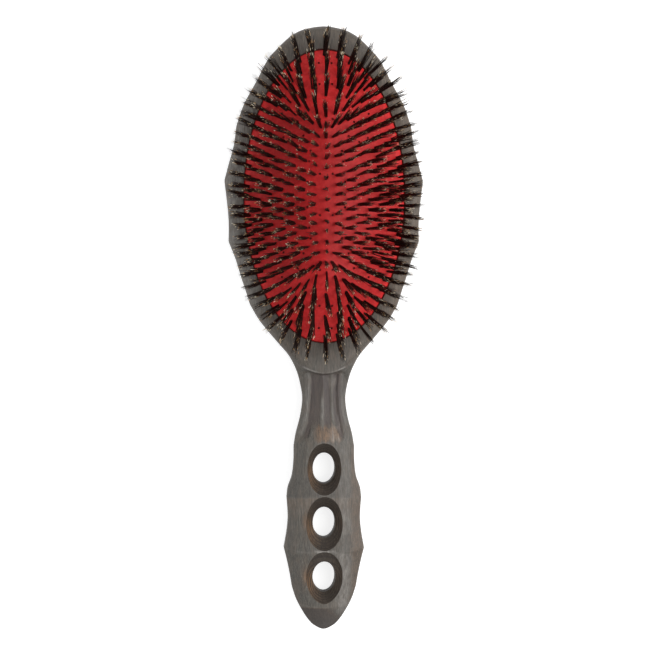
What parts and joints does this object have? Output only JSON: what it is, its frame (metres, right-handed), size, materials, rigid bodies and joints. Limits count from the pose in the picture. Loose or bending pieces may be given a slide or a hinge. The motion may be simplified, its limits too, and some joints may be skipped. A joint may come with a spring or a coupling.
{
  "type": "cushion hair brush",
  "caption": "Oval cushion hair brush with a carved wooden head and handle, finger holes, a red rubber cushion and dark bristle tufts that press in together.",
  "frame": {"origin": "middle of the flat land on the back of the head, under the middle of the cushion", "axes": "+Y along the brush to the top of the head, +Z out of the cushion with the bristles, +X to the right as seen from the bristle side"},
  "size_m": [0.079, 0.2401, 0.041],
  "materials": {
    "stained_beech": "dark stained, satin, worn along the edges",
    "red_rubber": "satin",
    "dark_bristle": "bristle, slightly glossy"
  },
  "bodies": {
    "brush_body": {"wooden_body": "stained_beech", "cushion": "red_rubber"},
    "tuft_field": {"tuft_ring_1": "dark_bristle", "tuft_ring_2": "dark_bristle", "tuft_ring_3": "dark_bristle", "tuft_ring_4": "dark_bristle", "tuft_ring_5": "dark_bristle", "tuft_ring_6": "dark_bristle", "tuft_ring_7": "dark_bristle", "centre_tufts": "dark_bristle"}
  },
  "joints": [
    {"name": "cushion_press", "type": "slide", "parent": "brush_body", "child": "tuft_field", "axis": [0, 0, 1], "range_m": [-0.0025, 0], "stiffness_N_per_m": 3000, "deforming": ["cushion"]}
  ]
}
